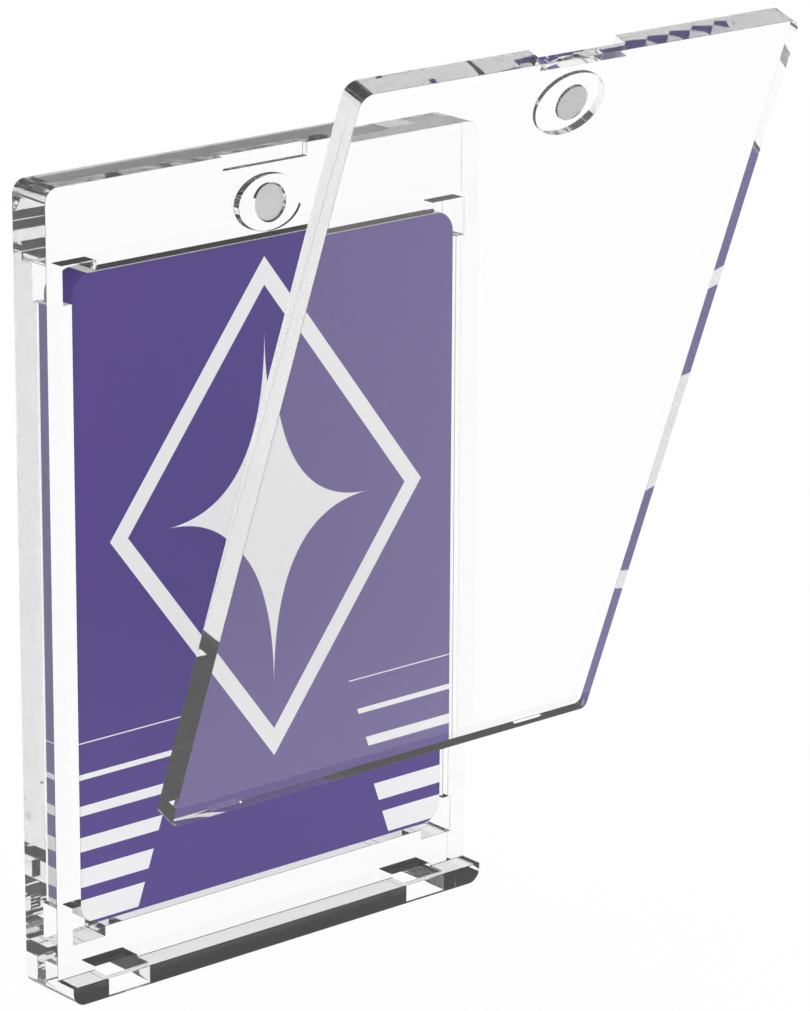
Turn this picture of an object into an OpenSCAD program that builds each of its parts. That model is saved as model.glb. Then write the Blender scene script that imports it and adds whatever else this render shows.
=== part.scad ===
// Trading card display case: a clear rear shell with a recess for one thick card,
// and a clear front lid that is shown taken off and tilted in front of it.
// The lid hooks into two slots in the foot, and two magnets hold its top edge.
// The origin is the middle of the foot's underside. X runs across the case, Z up,
// and the front faces -Y.

/* [Card] */
// Width of the card that the case holds
card_w = 63.5; // [60:0.1:68]
// Height of the card that the case holds
card_h = 88.9; // [84:0.1:94]
// Thickness of the card that the case holds
card_t = 4.57; // [3:0.01:6]
// Room beside the card on each side
side_gap = 0.65; // [0.5:0.05:1.5]
// Room above and below the card
end_gap = 1.45; // [1.2:0.05:3]
// Room in front of the card when the lid is shut
depth_gap = 0.03; // [0.01:0.01:0.3]

/* [Rear shell] */
// Wall beside the card recess on each side
side_wall = 4.1; // [3:0.05:8]
// Height of solid plastic below the card recess
sill_h = 8.75; // [7:0.05:14]
// Height of solid plastic above the card recess
head_h = 12.05; // [11.2:0.05:18]
// Thickness of the wall behind the card
back_wall = 2.65; // [1.5:0.05:5]
// Radius of the outline's corners
corner_r = 2; // [0.5:0.1:3]
// Height of the foot that the lid stands on
foot_h = 2.8; // [2.4:0.05:3]

/* [Corner reliefs] */
// How far each relief reaches beyond the recess's walls
relief_out = 1.45; // [0.5:0.05:2.5]
// How far each relief runs in along the top and bottom walls
relief_in_x = 4; // [2:0.1:8]
// How far each relief runs in along the side walls
relief_in_z = 3.88; // [2:0.02:8]

/* [Lid] */
// Thickness of the lid
lid_t = 3.45; // [3:0.05:5]
// Radius of the lid's two lower corners
lid_toe_r = 1; // [0.2:0.1:2]
// Gap between the lid's lower edge and the foot when shut
toe_gap = 0.05; // [0.03:0.01:0.3]
// Gap between the lid and the shell when shut
face_gap = 0.05; // [0.03:0.01:0.3]

/* [Lugs and slots] */
// Width of each lug under the lid
lug_w = 5.2; // [3:0.1:9]
// Length of each lug below the lid's lower edge
lug_h = 2.2; // [1:0.05:2.2]
// Thickness of each lug
lug_t = 1.2; // [0.8:0.05:2]
// How far each lug stands in front of the lid's rear face
lug_set = 0.1; // [0.1:0.05:0.6]
// Distance of each lug's middle from the middle of the case
lug_x = 26.6; // [14:0.1:28]
// Room beside a lug in its slot, on each side
slot_gap = 0.95; // [0.2:0.05:1.2]
// Room in front of a lug, which lets the lid come forwards as it rises
lug_room = 1.1; // [1.1:0.05:1.6]
// Thickness of the foot in front of a slot
slot_lip = 1.1; // [0.8:0.05:3]
// Wall between a slot and the rear face
slot_back = 0.9; // [0.6:0.05:3]
// Height of the slots
slot_h = 3.25; // [3.1:0.05:4.5]

/* [Magnets] */
// Diameter of the magnet in the shell
shell_magnet_d = 5.2; // [3:0.05:6]
// Diameter of the magnet in the lid
lid_magnet_d = 4.75; // [3:0.05:6]
// Room around a magnet in its seat
magnet_gap = 0.05; // [0.02:0.01:0.2]
// Thickness of the magnet in the shell
shell_magnet_t = 1; // [0.8:0.1:4]
// Thickness of the magnet in the lid
lid_magnet_t = 0.9; // [0.5:0.05:1]
// Distance of both magnets below the top edge
magnet_drop = 7.05; // [6.5:0.05:7.2]
// How far the shell's magnet is sunk below its boss
magnet_sink = 0.3; // [0.05:0.05:0.4]

/* [Magnet boss] */
// Half width of the oval boss around the shell's magnet
boss_rx = 5.45; // [4:0.05:8]
// Half height of the oval boss around the shell's magnet
boss_rz = 3.9; // [3.5:0.05:4]
// How far the boss stands out of the shell's front face
boss_h = 1.1; // [0.6:0.05:1.2]
// Room beside the boss in the lid's socket
socket_side_gap = 0.15; // [0.1:0.05:0.6]
// Room above the boss in the lid's socket
socket_top_gap = 0.2; // [0.1:0.05:0.4]
// Room below the boss, which lets the lid rise as it comes off
socket_low_gap = 0.8; // [0.8:0.05:1.2]
// Depth of the lid magnet's seat below the socket's floor
seat_h = 0.85; // [0.3:0.05:0.9]

/* [Thumb notch] */
// Width of the notch at the top of both halves
notch_w = 14.4; // [8:0.1:24]
// Height of the notch in the shell
shell_notch_h = 1.9; // [0.8:0.05:2.2]
// Depth of the notch in the shell
shell_notch_t = 1; // [0.4:0.05:3]
// Height of the notch in the lid
lid_notch_h = 1.5; // [0.8:0.05:2.2]
// Depth of the notch in the lid
lid_notch_t = 1.85; // [0.4:0.05:2.4]

/* [Display insert] */
// Room beside the insert on each side
insert_side_gap = 0.25; // [0.1:0.05:0.5]
// Room below the insert
insert_low_gap = 0.7; // [0.1:0.05:1]
// Room above the insert
insert_top_gap = 0.15; // [0.1:0.05:1.5]
// How far the insert's front lies below the shell's front face
insert_sink = 0.3; // [0.2:0.05:2]
// Radius of the insert's corners
insert_r = 3; // [1:0.1:5]

/* [Lid shown off] */
// Angle that the lid has swung through from shut, in degrees
swing_deg = 20.17; // [12:0.01:30]
// Distance of the swing's axis in front of the origin
swing_out = 99.25; // [90:0.05:115]
// Depth of the swing's axis below the origin
swing_drop = 43.55; // [38:0.05:50]

/* [Hidden] */

$fn = 96;
oval_points = 96;
// How far a cutter runs past the surface that it cuts
over = 1;

recess_w = card_w + 2 * side_gap;
recess_h = card_h + 2 * end_gap;
recess_t = card_t + depth_gap;
shell_w = recess_w + 2 * side_wall;
shell_h = sill_h + recess_h + head_h;
shell_t = recess_t + back_wall;
foot_out = face_gap + lug_set + lug_t + lug_room + slot_lip;
foot_t = shell_t + foot_out;

// Planes across the case, from the rear face to the foot's front
back_y = foot_t / 2;
face_y = back_y - shell_t;
toe_y = face_y - foot_out;
magnet_z = shell_h - magnet_drop;

lid_h = shell_h - foot_h - toe_gap;
lid_magnet_z = magnet_z - foot_h - toe_gap;
slot_w = lug_w + 2 * slot_gap;
shell_bore_d = shell_magnet_d + 2 * magnet_gap;
lid_bore_d = lid_magnet_d + 2 * magnet_gap;
socket_rx = boss_rx + socket_side_gap;
socket_rz = boss_rz + (socket_top_gap + socket_low_gap) / 2;
socket_shift = (socket_top_gap - socket_low_gap) / 2;
socket_t = boss_h + lid_magnet_t - seat_h;
insert_w = recess_w - 2 * insert_side_gap;
insert_h = recess_h - insert_low_gap - insert_top_gap;

clear_plastic = [0.93, 0.94, 0.96, 0.35];
magnet_grey = [0.78, 0.78, 0.79];
print_purple = [0.36, 0.3, 0.56];

// Stands a flat outline up and gives it a thickness, from its rear face forwards
module upright(rear_y, thickness)
    translate([0, rear_y, 0])
        rotate([90, 0, 0])
            linear_extrude(thickness)
                children();

// Flat outline, centred across and standing on zero, with rounded corners
module rounded_outline(width, height, low_r, high_r) {
    for (side = [-1, 1]) {
        translate([side * (width / 2 - low_r), low_r])
            circle(low_r);
        translate([side * (width / 2 - high_r), height - high_r])
            circle(high_r);
    }
    translate([-width / 2, low_r])
        square([width, height - low_r - high_r]);
    translate([low_r - width / 2, 0])
        square([width - 2 * low_r, height / 2]);
    translate([high_r - width / 2, height / 2])
        square([width - 2 * high_r, height / 2]);
}

module shell_outline()
    rounded_outline(shell_w, shell_h, corner_r, corner_r);

// Flat oval about zero
module oval(rx, rz)
    polygon([for (i = [0 : oval_points - 1])
        let (a = 360 * i / oval_points) [rx * cos(a), rz * sin(a)]]);

// Block from its lowest corner to its highest
module block(low, high)
    translate(low)
        cube(high - low);

// Round rod along Y, from its rear end forwards
module rod(diameter, rear_y, z, length)
    translate([0, rear_y, z])
        rotate([90, 0, 0])
            cylinder(d = diameter, h = length);

// Recess that takes the card, with a relief at each corner
module card_recess() {
    low_z = sill_h;
    high_z = sill_h + recess_h;
    block([-recess_w / 2, face_y - over, low_z], [recess_w / 2, face_y + recess_t, high_z]);
    for (side = [0, 1])
        mirror([side, 0, 0]) {
            near_x = recess_w / 2 - relief_in_x;
            far_x = recess_w / 2 + relief_out;
            block([near_x, face_y - over, low_z - relief_out],
                  [far_x, face_y + recess_t, low_z + relief_in_z]);
            block([near_x, face_y - over, high_z - relief_in_z],
                  [far_x, face_y + recess_t, high_z + relief_out]);
        }
}

// Slots through the foot for the lid's lugs, which run a little way up into the shell
module lug_slots()
    for (side = [-1, 1])
        translate([side * lug_x, 0, 0])
            block([-slot_w / 2, toe_y + slot_lip, -over], [slot_w / 2, back_y - slot_back, slot_h]);

module base_shell()
    color(clear_plastic)
        difference() {
            union() {
                upright(back_y, shell_t)
                    shell_outline();
                upright(back_y, foot_t)
                    intersection() {
                        shell_outline();
                        translate([-shell_w / 2, 0])
                            square([shell_w, foot_h]);
                    }
                translate([0, 0, magnet_z])
                    upright(face_y + over, boss_h + over)
                        oval(boss_rx, boss_rz);
            }
            card_recess();
            lug_slots();
            block([-notch_w / 2, face_y - over, shell_h - shell_notch_h],
                  [notch_w / 2, face_y + shell_notch_t, shell_h + over]);
            rod(shell_bore_d, face_y - boss_h + magnet_sink + shell_magnet_t, magnet_z,
                magnet_sink + shell_magnet_t + over);
        }

module base_magnet()
    color(magnet_grey)
        rod(shell_magnet_d, face_y - boss_h + magnet_sink + shell_magnet_t, magnet_z, shell_magnet_t);

// Moves a piece of the shut lid to where the photograph shows the lid
module swung_off()
    translate([0, -swing_out, -swing_drop])
        rotate([swing_deg, 0, 0])
            translate([0, swing_out, swing_drop])
                children();

// Carries a piece from the lid's own frame, whose origin is the middle of the
// lower edge of its rear face, to the shut lid
module on_shut_case()
    translate([0, face_y - face_gap, foot_h + toe_gap])
        children();

module lid_solid()
    difference() {
        union() {
            upright(0, lid_t)
                rounded_outline(shell_w, lid_h, lid_toe_r, corner_r);
            for (side = [-1, 1])
                translate([side * lug_x, 0, 0])
                    block([-lug_w / 2, -lug_set - lug_t, -lug_h], [lug_w / 2, -lug_set, over]);
        }
        translate([0, 0, lid_magnet_z + socket_shift])
            upright(over, socket_t + over)
                oval(socket_rx, socket_rz);
        rod(lid_bore_d, over, lid_magnet_z, socket_t + seat_h + over);
        block([-notch_w / 2, -lid_notch_t, lid_h - lid_notch_h], [notch_w / 2, over, lid_h + over]);
    }

module front_lid()
    color(clear_plastic)
        swung_off()
            on_shut_case()
                lid_solid();

module lid_magnet()
    color(magnet_grey)
        swung_off()
            on_shut_case()
                rod(lid_magnet_d, lid_magnet_t - socket_t - seat_h, lid_magnet_z, lid_magnet_t);

// Thick printed board that fills the recess in place of a card
module insert_card()
    color(print_purple)
        translate([0, 0, sill_h + insert_low_gap])
            upright(face_y + recess_t, recess_t - insert_sink)
                rounded_outline(insert_w, insert_h, insert_r, insert_r);

base_shell();
base_magnet();
front_lid();
lid_magnet();
insert_card();
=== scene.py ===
"""Looks of a display case for one thick trading card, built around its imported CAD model.

The case is a clear rear shell with a printed insert in its recess, and a clear lid that is shown taken off
and tilted in front of it. Lengths are in metres, in the part's own frame: +Z is up and the front faces -Y.
"""
import logging
import math
from collections.abc import Mapping
from dataclasses import dataclass
from enum import Enum

import bmesh
import bpy
from mathutils import Matrix, Vector


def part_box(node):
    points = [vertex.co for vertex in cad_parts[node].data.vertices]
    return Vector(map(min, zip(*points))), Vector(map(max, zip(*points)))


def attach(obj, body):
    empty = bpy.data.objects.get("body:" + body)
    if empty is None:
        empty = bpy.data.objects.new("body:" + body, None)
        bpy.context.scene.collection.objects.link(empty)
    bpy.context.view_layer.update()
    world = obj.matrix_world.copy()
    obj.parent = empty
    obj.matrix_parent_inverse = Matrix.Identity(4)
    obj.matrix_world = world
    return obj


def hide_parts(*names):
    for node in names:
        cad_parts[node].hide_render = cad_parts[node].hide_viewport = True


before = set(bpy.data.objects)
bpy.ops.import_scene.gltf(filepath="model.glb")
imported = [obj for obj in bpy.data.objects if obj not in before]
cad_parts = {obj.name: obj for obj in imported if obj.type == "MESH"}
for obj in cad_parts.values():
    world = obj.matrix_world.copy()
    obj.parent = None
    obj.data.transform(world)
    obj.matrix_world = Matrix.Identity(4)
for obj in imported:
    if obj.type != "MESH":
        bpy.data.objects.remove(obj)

MM = 0.001
LOG = logging.getLogger("display_case")

Colour = tuple[float, float, float, float]
Place = tuple[float, float, float]

BLACK: Colour = (0.0, 0.0, 0.0, 1.0)
WHITE: Colour = (1.0, 1.0, 1.0, 1.0)


class Body(Enum):
    """The two bodies that pieces ride on."""

    BASE = "base"
    LID = "lid"


class Slot(Enum):
    """The record's material slots."""

    CLEAR_PLASTIC = "clear_plastic"
    MAGNET_PLATING = "magnet_plating"
    PRINTED_BOARD = "printed_board"


def screen_colour(red: int, green: int, blue: int) -> Colour:
    """Turns a colour as a screen shows it, 0 to 255, into linear light.

    Args:
        red: The red channel.
        green: The green channel.
        blue: The blue channel.

    Returns:
        The linear colour, opaque.
    """
    full = 255
    straight_end, straight_slope = 0.04045, 12.92
    lift, power = 0.055, 2.4

    def linear(channel: int) -> float:
        """Undoes the screen's curve, which is straight near black, on one channel."""
        share = channel / full
        return share / straight_slope if share <= straight_end else ((share + lift) / (1 + lift)) ** power

    return (linear(red), linear(green), linear(blue), 1.0)


def shaded(colour: Colour, share: float) -> Colour:
    """Darkens a colour.

    Args:
        colour: The colour, in linear light.
        share: How much of its light is left.

    Returns:
        The darker colour, opaque.
    """
    red, green, blue, _ = colour
    return (red * share, green * share, blue * share, 1.0)


# ---------------------------------------------------------------------------------------------------------
# Shader nodes
# ---------------------------------------------------------------------------------------------------------


class Signal:
    """The output of a shader node, on which Python's operators add Math nodes."""

    def __init__(self, bench: "NodeBench", socket: bpy.types.NodeSocket) -> None:
        """Wraps one output socket of a node on a bench."""
        self.bench = bench
        self.socket = socket

    def maths(self, operation: str, *operands: "Operand") -> "Signal":
        """Adds one Math node.

        Args:
            operation: The Math node's operation.
            *operands: Its values or signals, in order.

        Returns:
            The node's result.
        """
        return self.bench.add("ShaderNodeMath", {"operation": operation}, dict(enumerate(operands)))

    def other(self, output: str) -> "Signal":
        """Gives another output of the same node, by name."""
        return Signal(self.bench, self.socket.node.outputs[output])

    def __add__(self, other: "Operand") -> "Signal":
        """Adds a value or signal."""
        return self.maths("ADD", self, other)

    def __sub__(self, other: "Operand") -> "Signal":
        """Takes a value or signal away."""
        return self.maths("SUBTRACT", self, other)

    def __rsub__(self, other: "Operand") -> "Signal":
        """Takes this signal away from a value."""
        return self.maths("SUBTRACT", other, self)

    def __mul__(self, other: "Operand") -> "Signal":
        """Multiplies by a value or signal."""
        return self.maths("MULTIPLY", self, other)

    def __truediv__(self, other: "Operand") -> "Signal":
        """Divides by a value or signal."""
        return self.maths("DIVIDE", self, other)

    def __rtruediv__(self, other: "Operand") -> "Signal":
        """Divides a value by this signal."""
        return self.maths("DIVIDE", other, self)

    def __pow__(self, other: "Operand") -> "Signal":
        """Raises to a power."""
        return self.maths("POWER", self, other)

    def __rpow__(self, other: "Operand") -> "Signal":
        """Raises a value to this signal's power."""
        return self.maths("POWER", other, self)

    def __lt__(self, other: "Operand") -> "Signal":
        """Gives 1 where this is less than the other, and 0 elsewhere."""
        return self.maths("LESS_THAN", self, other)

    def __gt__(self, other: "Operand") -> "Signal":
        """Gives 1 where this is more than the other, and 0 elsewhere."""
        return self.maths("GREATER_THAN", self, other)

    def __or__(self, other: "Operand") -> "Signal":
        """Joins two masks."""
        return self.maths("MAXIMUM", self, other)

    def __and__(self, other: "Operand") -> "Signal":
        """Keeps what two masks share."""
        return self.maths("MINIMUM", self, other)

    def __abs__(self) -> "Signal":
        """Drops the sign."""
        return self.maths("ABSOLUTE", self)

    __radd__ = __add__
    __rmul__ = __mul__
    __ror__ = __or__
    __rand__ = __and__


Operand = float | tuple[float, ...] | Signal


@dataclass(frozen=True)
class Grain:
    """How fine a noise is, and how strong its finer layers are."""

    waves_per_metre: float
    layers: float
    strength: float = 0.5


class NodeBench:
    """One node tree, cleared, with the one method that adds nodes to it."""

    def __init__(self, owner: bpy.types.Material | bpy.types.World) -> None:
        """Takes over the node tree of a material or a world."""
        owner.use_nodes = True
        self.tree = owner.node_tree
        self.tree.nodes.clear()
        of_world = isinstance(owner, bpy.types.World)
        self.ending = "ShaderNodeOutputWorld" if of_world else "ShaderNodeOutputMaterial"

    def add(
        self,
        kind: str,
        settings: Mapping[str, object] | None = None,
        inputs: Mapping[str | int, Operand] | None = None,
        output: str | int = 0,
    ) -> Signal | None:
        """Adds a node.

        Args:
            kind: The node's type.
            settings: The node's own settings, which are set first.
            inputs: Values or signals for its input sockets, by name or number.
            output: The output socket that is wanted, by name or number.

        Returns:
            The chosen output, or None for a node without outputs.
        """
        node = self.tree.nodes.new(kind)
        for name, value in (settings or {}).items():
            setattr(node, name, value)
        for key, value in (inputs or {}).items():
            if isinstance(value, Signal):
                self.tree.links.new(value.socket, node.inputs[key])
            else:
                node.inputs[key].default_value = value
        return Signal(self, node.outputs[output]) if node.outputs else None

    def mix(self, factor: Operand, first: Operand, second: Operand) -> Signal:
        """Mixes two colours.

        Args:
            factor: The share of the second colour.
            first: The colour where the factor is 0.
            second: The colour where the factor is 1.

        Returns:
            The mixed colour.
        """
        factor_in, first_in, second_in, colour_out = 0, 6, 7, 2
        return self.add(
            "ShaderNodeMix",
            {"data_type": "RGBA"},
            {factor_in: factor, first_in: first, second_in: second},
            colour_out,
        )

    def place_mm(self) -> tuple[Signal, Signal, Signal]:
        """Gives the place on the piece, in millimetres, as three signals."""
        place = self.add("ShaderNodeTexCoord", output="Object")
        parts = self.add("ShaderNodeSeparateXYZ", inputs={0: place})
        return tuple(parts.other(axis) / MM for axis in "XYZ")

    def noise(self, grain: Grain) -> Signal:
        """Adds noise that is fixed to the piece.

        Args:
            grain: How fine it is.

        Returns:
            The noise, about 0.5.
        """
        place = self.add("ShaderNodeTexCoord", output="Object")
        return self.add(
            "ShaderNodeTexNoise",
            {"noise_dimensions": "3D"},
            {
                "Vector": place,
                "Scale": grain.waves_per_metre,
                "Detail": grain.layers,
                "Roughness": grain.strength,
            },
        )

    def bump(self, height: Signal, strength: float, distance: float) -> Signal:
        """Adds a bump.

        Args:
            height: The height, from 0 to 1.
            strength: How much of it shows.
            distance: What a height of 1 measures, in metres.

        Returns:
            The bent normal.
        """
        return self.add(
            "ShaderNodeBump", inputs={"Strength": strength, "Distance": distance, "Height": height}
        )

    def seen_clearly(self) -> Signal:
        """Gives 1 to rays that reach the eye by mirroring or refraction alone, and 0 to other rays."""
        mirrored = self.add("ShaderNodeLightPath", output="Is Glossy Ray")
        clear = mirrored | mirrored.other("Is Transmission Ray")
        return clear & (mirrored.other("Diffuse Depth") < 1)

    def finish(self, surface: Signal, volume: Signal | None = None) -> None:
        """Ends the tree in an output node.

        Args:
            surface: The surface's shader.
            volume: The shader of what the surface holds, if that is clear.
        """
        inputs = {"Surface": surface}
        if volume:
            inputs["Volume"] = volume
        self.add(self.ending, inputs=inputs)


# ---------------------------------------------------------------------------------------------------------
# Finishes
# ---------------------------------------------------------------------------------------------------------


@dataclass(frozen=True)
class ClearPlastic:
    """Clear moulded polystyrene, polished, with the faintest haze where hands have been.

    The little that its surface scatters is what lights the corners where mirrored light is caught.
    """

    name: str = "clear_plastic"
    tint: Colour = WHITE
    ior: float = 1.59
    mirrored: Colour = (0.3, 0.3, 0.3, 1.0)
    haze: float = 0.003
    touch_marks: Grain = Grain(waves_per_metre=45, layers=3)
    passed: float = 0.992
    absorbed_per_metre: float = 2.1

    def material(self) -> bpy.types.Material:
        """Builds the material."""
        material = bpy.data.materials.new(self.name)
        bench = NodeBench(material)
        touched = bench.noise(self.touch_marks)
        surface = bench.add(
            "ShaderNodeBsdfPrincipled",
            inputs={
                "Base Color": self.tint,
                "Roughness": touched * self.haze,
                "IOR": self.ior,
                "Specular Tint": self.mirrored,
                "Transmission Weight": self.passed,
            },
        )
        inside = bench.add(
            "ShaderNodeVolumeAbsorption", inputs={"Color": BLACK, "Density": self.absorbed_per_metre}
        )
        bench.finish(surface, inside)
        return material


@dataclass(frozen=True)
class SatinPlating:
    """Satin plating on a magnet, with fine marks from tumbling, and paler than a mirroring metal."""

    name: str = "magnet_plating"
    colour: Colour = (0.72, 0.72, 0.73, 1.0)
    metallic: float = 0.6
    dull: float = 0.24
    mark_dull: float = 0.1
    mark_grain: Grain = Grain(waves_per_metre=2400, layers=4)
    worn_grain: Grain = Grain(waves_per_metre=350, layers=2)
    worn_shade: float = 0.9
    mark_strength: float = 0.08
    mark_depth: float = 0.05 * MM

    def material(self) -> bpy.types.Material:
        """Builds the material."""
        material = bpy.data.materials.new(self.name)
        bench = NodeBench(material)
        marks = bench.noise(self.mark_grain)
        worn = bench.noise(self.worn_grain)
        surface = bench.add(
            "ShaderNodeBsdfPrincipled",
            inputs={
                "Base Color": bench.mix(worn, self.colour, shaded(self.colour, self.worn_shade)),
                "Metallic": self.metallic,
                "Roughness": marks * self.mark_dull + self.dull,
                "Normal": bench.bump(marks, self.mark_strength, self.mark_depth),
            },
        )
        bench.finish(surface)
        return material


@dataclass(frozen=True)
class PrintedBoard:
    """Purple board, printed white with a star in a rhombus and bars in its lower corners.

    The print runs through to the edges, apart from the top one, which is bare board. The sizes of the print
    are in millimetres. The board's middle and top, and the depth of its fibres, are in metres.
    """

    middle_z: float
    top_z: float
    name: str = "printed_board"
    ground: Colour = screen_colour(90, 70, 147)
    white: Colour = screen_colour(252, 252, 253)
    core: Colour = screen_colour(240, 240, 238)
    dull: float = 0.38
    fibre_grain: Grain = Grain(waves_per_metre=900, layers=5, strength=0.6)
    fibre_dull: float = 0.1
    fibre_shade: float = 0.8
    fibre_share: float = 0.12
    fibre_strength: float = 0.1
    fibre_depth: float = 0.05 * MM
    ink_depth: float = 0.05
    star_up: float = 8
    ring_wide: float = 25
    ring_high: float = 33
    ring_line: float = 2.4
    star_wide: float = 17
    star_high: float = 25
    star_hollow: float = 0.5
    bar_pitch: float = 4.8
    bar_top: float = -18
    bar_inner: float = 13
    bar_slant: float = 0.35
    bar_growth: float = 1.5

    def rhombus(self, wide: Signal, up: Signal, half_wide: float, half_high: float) -> Signal:
        """Measures how far out a point lies in a rhombus.

        Args:
            wide: Distance from the upright middle line.
            up: Height above the rhombus's middle.
            half_wide: Half of its width.
            half_high: Half of its height.

        Returns:
            The share, 0 in the middle and 1 on the edge.
        """
        return wide / half_wide + abs(up) / half_high

    def star(self, wide: Signal, up: Signal) -> Signal:
        """Masks a star of four points with hollow sides."""
        across = (wide / self.star_wide) ** self.star_hollow
        along = (abs(up) / self.star_high) ** self.star_hollow
        return across + along < 1

    def bars(self, wide: Signal, up: Signal) -> Signal:
        """Masks level bars in both lower corners, thicker the lower they are."""
        half_pitch = self.bar_pitch / 2
        thickness = (self.bar_top - up) / (self.middle_z / MM) * self.bar_growth
        stripe = up.maths("PINGPONG", up, half_pitch) / half_pitch < thickness
        from_middle = wide + (up - self.bar_top) * self.bar_slant
        return stripe & (from_middle > self.bar_inner) & (up < self.bar_top)

    def material(self) -> bpy.types.Material:
        """Builds the material."""
        material = bpy.data.materials.new(self.name)
        bench = NodeBench(material)
        x, _, z = bench.place_mm()
        up = z - self.middle_z / MM
        wide = abs(x)
        raised = up - self.star_up
        square_on = self.ring_wide * self.ring_high / math.hypot(self.ring_wide, self.ring_high)
        from_ring = abs(self.rhombus(wide, raised, self.ring_wide, self.ring_high) - 1) * square_on
        ring = from_ring < self.ring_line / 2
        shapes = ring | self.star(wide, raised) | self.bars(wide, up)
        fibres = bench.noise(self.fibre_grain)
        ink = bench.mix(fibres * self.fibre_share, self.ground, shaded(self.ground, self.fibre_shade))
        printed = bench.mix(shapes, ink, self.white)
        bare = z > self.top_z / MM - self.ink_depth
        surface = bench.add(
            "ShaderNodeBsdfPrincipled",
            inputs={
                "Base Color": bench.mix(bare, printed, self.core),
                "Roughness": fibres * self.fibre_dull + self.dull,
                "Normal": bench.bump(fibres, self.fibre_strength, self.fibre_depth),
            },
        )
        bench.finish(surface)
        return material


# ---------------------------------------------------------------------------------------------------------
# Sub-assemblies
# ---------------------------------------------------------------------------------------------------------


# What counts as one point, as flat and as sharp in a CAD mesh, and how a sharp edge is rounded
SAME_POINT = 0.001 * MM
FLAT_ANGLE = math.radians(0.5)
SHARP_ANGLE = math.radians(30)
FACES_ROUND_AN_EDGE = 2
ROUND_PROFILE = 0.5


def eased_copy(node: str, name: str, radius: float, film: float = 0.0) -> bpy.types.Object:
    """Copies a CAD node's mesh, and rounds its sharp edges as moulding leaves them.

    Args:
        node: The CAD node.
        name: The new piece's name.
        radius: The radius of the eased edges.
        film: How far the surface is drawn in, which leaves a film of air where pieces touch.

    Returns:
        The new piece.
    """
    shape = bmesh.new()
    shape.from_mesh(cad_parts[node].data)
    bmesh.ops.remove_doubles(shape, verts=shape.verts, dist=SAME_POINT)
    bmesh.ops.dissolve_limit(shape, angle_limit=FLAT_ANGLE, verts=shape.verts, edges=shape.edges)
    sharp = [edge for edge in shape.edges if edge.is_manifold and edge.calc_face_angle(0.0) > SHARP_ANGLE]
    bmesh.ops.bevel(
        shape, geom=sharp, offset=radius, offset_type="OFFSET", segments=FACES_ROUND_AN_EDGE,
        profile=ROUND_PROFILE, affect="EDGES", clamp_overlap=True,
    )
    if film:
        shape.normal_update()
        inward = {vert: -film * vert.normal * vert.calc_shell_factor() for vert in shape.verts}
        for vert, shift in inward.items():
            vert.co += shift
    for face in shape.faces:
        face.smooth = True
    mesh = bpy.data.meshes.new(name)
    shape.to_mesh(mesh)
    shape.free()
    piece = bpy.data.objects.new(name, mesh)
    bpy.context.scene.collection.objects.link(piece)
    weigh = piece.modifiers.new("even_normals", "WEIGHTED_NORMAL")
    weigh.keep_sharp = True
    return piece


def dress(piece: bpy.types.Object, node: str, material: bpy.types.Material, body: Body) -> None:
    """Gives a piece its material, and puts it in the place of its CAD node.

    Args:
        piece: The piece.
        node: The CAD node that it replaces.
        material: Its material.
        body: The body that it rides on.
    """
    piece.data.materials.clear()
    piece.data.materials.append(material)
    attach(piece, body.value)
    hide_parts(node)
    LOG.info("%s: %d faces", piece.name, len(piece.data.polygons))


@dataclass
class ClearHalf:
    """What both clear halves of the case share: a moulding and the magnet that it holds."""

    plastic: bpy.types.Material
    plating: bpy.types.Material
    eased_edge: float = 0.1 * MM
    magnet_edge: float = 0.15 * MM
    air_film: float = 0.02 * MM

    def moulding(self, node: str, name: str, body: Body) -> None:
        """Builds the clear moulding.

        Args:
            node: The moulding's CAD node.
            name: The new piece's name.
            body: The body that it rides on.
        """
        dress(eased_copy(node, name, self.eased_edge), node, self.plastic, body)

    def magnet(self, node: str, name: str, body: Body) -> None:
        """Builds the magnet, with a film of air round it.

        Args:
            node: The magnet's CAD node.
            name: The new piece's name.
            body: The body that it rides on.
        """
        piece = eased_copy(node, name, self.magnet_edge, self.air_film)
        dress(piece, node, self.plating, body)


@dataclass
class RearShell(ClearHalf):
    """The clear rear shell, with the magnet in its boss."""

    def build(self) -> None:
        """Builds both pieces."""
        self.moulding("base_shell", "shell_moulding", Body.BASE)
        self.magnet("base_magnet", "shell_magnet_disc", Body.BASE)


@dataclass
class FrontLid(ClearHalf):
    """The clear lid, with the magnet in its socket."""

    def build(self) -> None:
        """Builds both pieces."""
        self.moulding("front_lid", "lid_moulding", Body.LID)
        self.magnet("lid_magnet", "lid_magnet_disc", Body.LID)


@dataclass
class DisplayInsert:
    """The thick printed board in the recess."""

    eased_edge: float = 0.12 * MM
    air_film: float = 0.02 * MM

    def board(self) -> None:
        """Builds the board."""
        low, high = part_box("insert_card")
        material = PrintedBoard((low.z + high.z) / 2, high.z).material()
        piece = eased_copy("insert_card", "printed_insert", self.eased_edge, self.air_film)
        dress(piece, "insert_card", material, Body.BASE)

    def build(self) -> None:
        """Builds the one piece."""
        self.board()


# ---------------------------------------------------------------------------------------------------------
# Studio
# ---------------------------------------------------------------------------------------------------------


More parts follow.
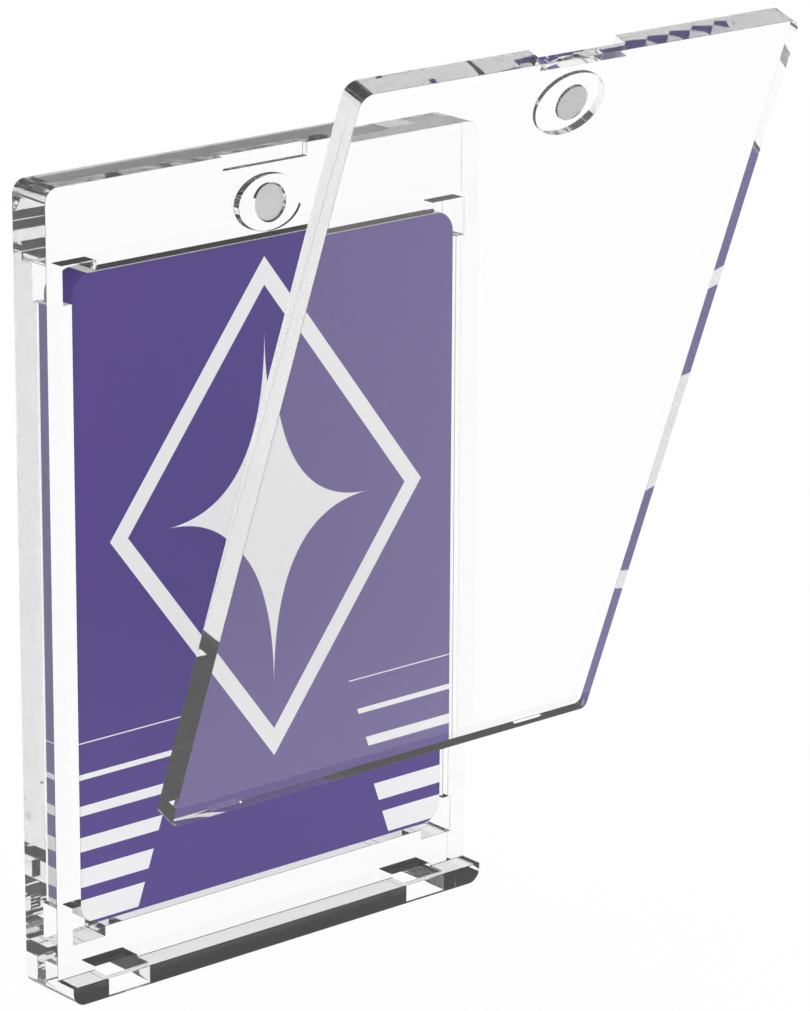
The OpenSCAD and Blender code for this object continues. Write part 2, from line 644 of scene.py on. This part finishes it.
@dataclass
class Studio:
    """The pale floor, the soft light and the camera.

    The camera's angles are in degrees, and its lens and sensor in millimetres.
    """

    floor_half: float = 3.0
    floor_drop: float = 0.05 * MM
    floor_paper: Colour = (0.9, 0.9, 0.9, 1.0)
    floor_glow: float = 0.97
    room_above: float = 0.04
    room_light: float = 1.0
    light_bounces: int = 32
    lamp_place: Place = (-0.9, -1.2, 1.5)
    lamp_aim: Place = (0.0, 0.0, 0.06)
    lamp_wide: float = 1.2
    lamp_power: float = 4.0
    camera_place: Place = (-0.39189, -0.4852, 0.25433)
    turned: float = 40.567
    tipped: float = 17.099
    rolled: float = 0.28
    lens: float = 170.04
    sensor: float = 36
    frame_long: int = 1011
    aim_left_px: float = 16.5
    aim_down_px: float = 0.5

    def camera(self) -> None:
        """Stands the camera where the photograph was taken from."""
        data = bpy.data.cameras.new("camera")
        data.lens = self.lens
        data.sensor_width = self.sensor
        data.shift_x = self.aim_left_px / self.frame_long
        data.shift_y = self.aim_down_px / self.frame_long
        camera = bpy.data.objects.new("camera", data)
        turn = Matrix.Rotation(math.radians(-self.turned), 4, "Z")
        tip = Matrix.Rotation(math.radians(90 - self.tipped), 4, "X")
        roll = Matrix.Rotation(math.radians(self.rolled), 4, "Z")
        camera.matrix_world = Matrix.Translation(self.camera_place) @ turn @ tip @ roll
        bpy.context.scene.collection.objects.link(camera)
        bpy.context.scene.camera = camera

    def floor(self) -> None:
        """Lays a plain white floor, which keeps a faint shadow."""
        half = self.floor_half
        mesh = bpy.data.meshes.new("floor")
        corners = [(-half, -half), (half, -half), (half, half), (-half, half)]
        mesh.from_pydata([(x, y, -self.floor_drop) for x, y in corners], [], [(0, 1, 2, 3)])
        floor = bpy.data.objects.new("floor", mesh)
        bpy.context.scene.collection.objects.link(floor)
        material = bpy.data.materials.new("floor_paper")
        bench = NodeBench(material)
        camera_ray = bench.add("ShaderNodeLightPath", output="Is Camera Ray")
        paper = bench.add("ShaderNodeBsdfDiffuse", inputs={"Color": self.floor_paper})
        glow = bench.add("ShaderNodeEmission", inputs={"Color": WHITE, "Strength": 1.0})
        share = (camera_ray | bench.seen_clearly()) * self.floor_glow
        bench.finish(bench.add("ShaderNodeMixShader", inputs={0: share, 1: paper, 2: glow}))
        mesh.materials.append(material)

    def sky(self) -> None:
        """Fills the room with even light, and shows clear pieces a dark room above the white floor."""
        world = bpy.data.worlds.new("room")
        bpy.context.scene.world = world
        bench = NodeBench(world)
        direction = bench.add("ShaderNodeTexCoord", output="Generated")
        height = bench.add("ShaderNodeSeparateXYZ", inputs={0: direction}, output="Z")
        room = (height < 0.0) | self.room_above
        clear = bench.seen_clearly()
        strength = clear * room + (1 - clear) * self.room_light
        bench.finish(bench.add("ShaderNodeBackground", inputs={"Color": WHITE, "Strength": strength}))

    def lamp(self) -> None:
        """Hangs one wide soft lamp up to the left."""
        data = bpy.data.lights.new("soft_lamp", "AREA")
        data.shape = "SQUARE"
        data.size = self.lamp_wide
        data.energy = self.lamp_power
        data.use_shadow = False
        lamp = bpy.data.objects.new("soft_lamp", data)
        lamp.location = self.lamp_place
        lamp.rotation_euler = (Vector(self.lamp_aim) - lamp.location).to_track_quat("-Z", "Y").to_euler()
        lamp.visible_glossy = False
        lamp.visible_transmission = False
        bpy.context.scene.collection.objects.link(lamp)

    def build(self) -> None:
        """Sets the whole studio up."""
        self.camera()
        self.floor()
        self.sky()
        self.lamp()
        scene = bpy.context.scene
        scene.view_settings.view_transform = "Standard"
        scene.cycles.max_bounces = self.light_bounces
        scene.cycles.glossy_bounces = self.light_bounces
        scene.cycles.transmission_bounces = self.light_bounces


def main() -> None:
    """Builds the looks of every piece in the studio."""
    logging.basicConfig(level=logging.INFO, format="%(name)s: %(message)s")
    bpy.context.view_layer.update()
    Studio().build()
    plastic = ClearPlastic().material()
    plating = SatinPlating().material()
    for assembly in (RearShell(plastic, plating), FrontLid(plastic, plating), DisplayInsert()):
        assembly.build()


if __name__ == "__main__":
    main()
